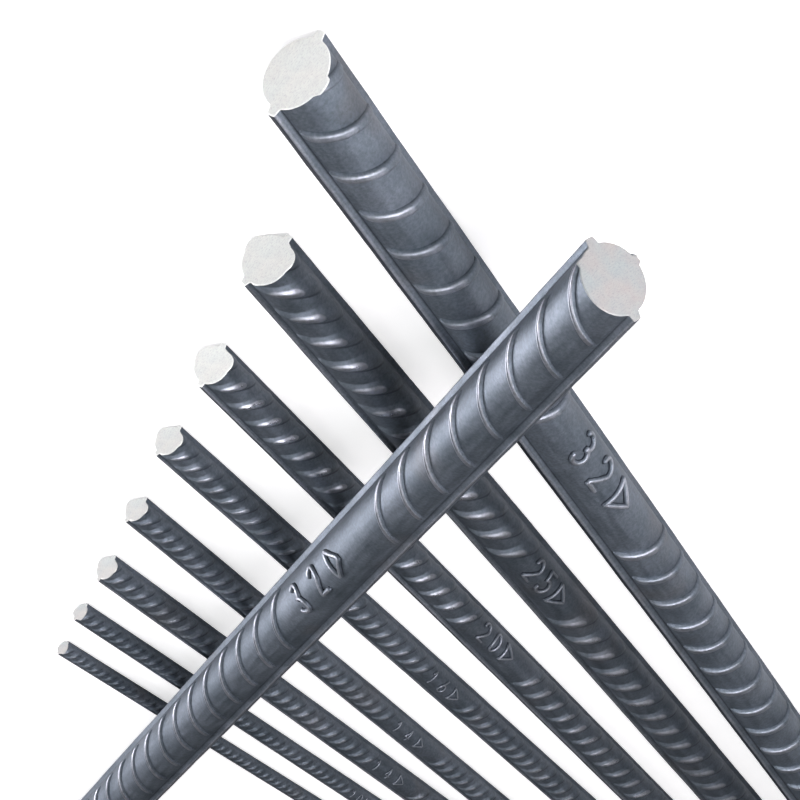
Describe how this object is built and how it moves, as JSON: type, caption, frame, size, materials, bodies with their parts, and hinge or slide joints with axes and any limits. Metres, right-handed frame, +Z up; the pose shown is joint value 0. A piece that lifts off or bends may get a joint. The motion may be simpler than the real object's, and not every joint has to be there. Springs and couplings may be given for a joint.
{
  "type": "rebar bundle",
  "caption": "Bundle of ribbed steel reinforcing bars of graded diameters fanned out on the ground, with a thick bar lying across them.",
  "frame": {"origin": "on the ground under the middle of the whole bundle's box", "axes": "+X along the thickest fanned bar, away from its near cut end; +Z up; +Y to the left of the heading"},
  "size_m": [1.515, 0.689, 0.0714],
  "materials": {
    "mill_scale": "satin"
  },
  "bodies": {
    "root": {"rebar_8mm": "mill_scale", "rebar_10mm": "mill_scale", "rebar_14mm_outer": "mill_scale", "rebar_14mm_inner": "mill_scale", "rebar_16mm": "mill_scale", "rebar_20mm": "mill_scale", "rebar_25mm": "mill_scale", "rebar_32mm": "mill_scale", "rebar_32mm_crossing": "mill_scale"}
  },
  "joints": []
}
